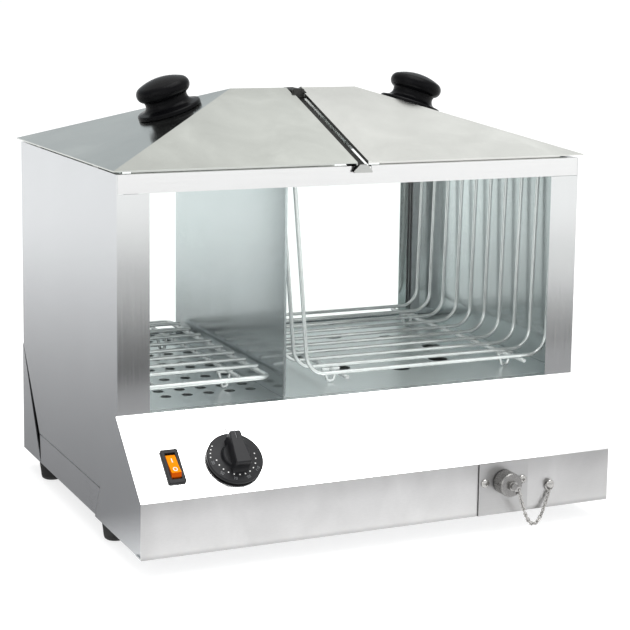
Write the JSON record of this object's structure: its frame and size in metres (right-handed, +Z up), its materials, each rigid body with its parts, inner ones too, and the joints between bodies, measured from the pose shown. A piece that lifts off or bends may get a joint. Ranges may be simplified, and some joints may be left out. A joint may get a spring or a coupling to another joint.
{
  "type": "hot dog steamer",
  "caption": "Counter-top hot dog steamer: stainless cabinet with glass ends, hipped lid in two halves, wire basket and bun rack over a heated water tank.",
  "frame": {"origin": "centre of the bounding box in plan, on the table under the feet", "axes": "+X to the right as seen from the front and the longest side, +Y to the rear, +Z up; the control panel faces -Y"},
  "size_m": [0.452, 0.3902, 0.3962],
  "materials": {
    "stainless_sheet": "brushed stainless sheet, fine grain",
    "bright_stainless": "bright stainless sheet, nearly mirror smooth",
    "galvanised_sheet": "dull plated sheet",
    "bright_wire": "bright plated wire",
    "clear_glass": "clear toughened glass",
    "black_knob": "black moulded resin, satin gloss",
    "black_plastic": "black moulded plastic",
    "black_rubber": "black rubber",
    "white_silicone": "pale silicone rubber",
    "orange_rocker": "translucent orange plastic",
    "pale_plastic": "pale moulded plastic",
    "wire_insulation": "sleeved wire",
    "bright_nickel": "bright nickel plate",
    "zinc_plate": "zinc plated steel",
    "brass_part": "turned brass",
    "copper_part": "drawn copper",
    "element_sheath": "dark annealed tube",
    "glass_channel": "extruded strip, satin"
  },
  "bodies": {
    "cabinet": {"base_tray": "stainless_sheet", "bun_steam_plate": "bright_stainless", "cable_bush": "black_rubber", "center_divider": "bright_stainless", "chain_rivet": "bright_nickel", "control_panel": "stainless_sheet", "control_panel_screws": "zinc_plate", "drain_chain": "bright_nickel", "drain_pipe": "brass_part", "drain_plate": "stainless_sheet", "drain_plate_screws": "bright_nickel", "element_bushings": "brass_part", "foot_screws": "zinc_plate", "front_glass": "clear_glass", "front_glass_channels": "glass_channel", "front_header": "stainless_sheet", "heating_element": "element_sheath", "high_limit_cutout": "pale_plastic", "left_side_panel": "stainless_sheet", "lid_bumpers": "white_silicone", "lid_hinge_bracket": "stainless_sheet", "lid_hinge_pins": "zinc_plate", "plate_support_bar": "bright_stainless", "rear_base_wall": "stainless_sheet", "rear_cover": "stainless_sheet", "rear_cover_screws": "zinc_plate", "rear_glass": "clear_glass", "rear_glass_channels": "glass_channel", "rear_header": "stainless_sheet", "right_side_panel": "stainless_sheet", "rocker_pin": "zinc_plate", "roof_bridge": "stainless_sheet", "rubber_feet": "black_rubber", "sausage_steam_plate": "bright_stainless", "switch_body": "black_plastic", "tank_supports": "galvanised_sheet", "terminal_block": "pale_plastic", "thermostat_body": "galvanised_sheet", "thermostat_bulb": "copper_part", "thermostat_screws": "zinc_plate", "water_tank": "bright_stainless", "wiring": "wire_insulation"},
    "left_lid": {"left_lid": "stainless_sheet", "left_lid_hinge": "stainless_sheet", "left_lid_knob": "black_knob", "left_knob_screw": "zinc_plate"},
    "right_lid": {"right_lid": "stainless_sheet", "right_lid_hinge": "stainless_sheet", "right_lid_knob": "black_knob", "right_knob_screw": "zinc_plate"},
    "thermostat_dial": {"thermostat_dial": "black_knob", "thermostat_shaft": "zinc_plate"},
    "power_rocker": {"power_rocker": "orange_rocker"},
    "reset_button": {"reset_button": "orange_rocker"},
    "cap_eye": {"cap_chain_eye": "bright_nickel"},
    "drain_cap": {"drain_cap": "bright_nickel", "drain_cap_washer": "black_rubber"},
    "bun_rack": {"bun_rack": "bright_wire"},
    "sausage_basket": {"sausage_basket_wires": "bright_wire", "sausage_basket_frame": "bright_wire"}
  },
  "joints": [
    {"name": "left_lid_hinge", "type": "hinge", "parent": "cabinet", "child": "left_lid", "pos_m": [-0.004, 0.03745, 0.3798], "axis": [0, 1, 0], "range_deg": [0, 78]},
    {"name": "right_lid_hinge", "type": "hinge", "parent": "cabinet", "child": "right_lid", "pos_m": [0.004, 0.03745, 0.3798], "axis": [0, -1, 0], "range_deg": [0, 78]},
    {"name": "thermostat_dial_turn", "type": "hinge", "parent": "cabinet", "child": "thermostat_dial", "pos_m": [-0.134, -0.15109, 0.08538], "axis": [0, 0.6683, -0.7439], "range_deg": [0, 300]},
    {"name": "power_rocker_tilt", "type": "hinge", "parent": "cabinet", "child": "power_rocker", "pos_m": [-0.1883, -0.14989, 0.08404], "axis": [1, 0, 0], "range_deg": [0, 15]},
    {"name": "reset_button_press", "type": "slide", "parent": "cabinet", "child": "reset_button", "axis": [0, -0.8137, 0.5812], "range_m": [0, 0.0015], "stiffness_N_per_m": 300, "springref_m": -0.001},
    {"name": "drain_cap_turn", "type": "hinge", "parent": "cap_eye", "child": "drain_cap", "pos_m": [0.1134, -0.18255, 0.0465], "axis": [0, -1, 0], "range_deg": [0, 1440]},
    {"name": "drain_cap_travel", "type": "slide", "parent": "cabinet", "child": "cap_eye", "axis": [0, -1, 0], "range_m": [0, 0.006], "deforming": ["drain_chain"]},
    {"name": "bun_rack_lift", "type": "slide", "parent": "cabinet", "child": "bun_rack", "axis": [0, 0, 1], "range_m": [0, 0.16]},
    {"name": "sausage_basket_lift", "type": "slide", "parent": "cabinet", "child": "sausage_basket", "axis": [0, 0, 1], "range_m": [0, 0.008]}
  ],
  "couplings": [
    {"joint": "drain_cap_turn", "follows": "drain_cap_travel", "rad_per_m": 4188.8}
  ]
}
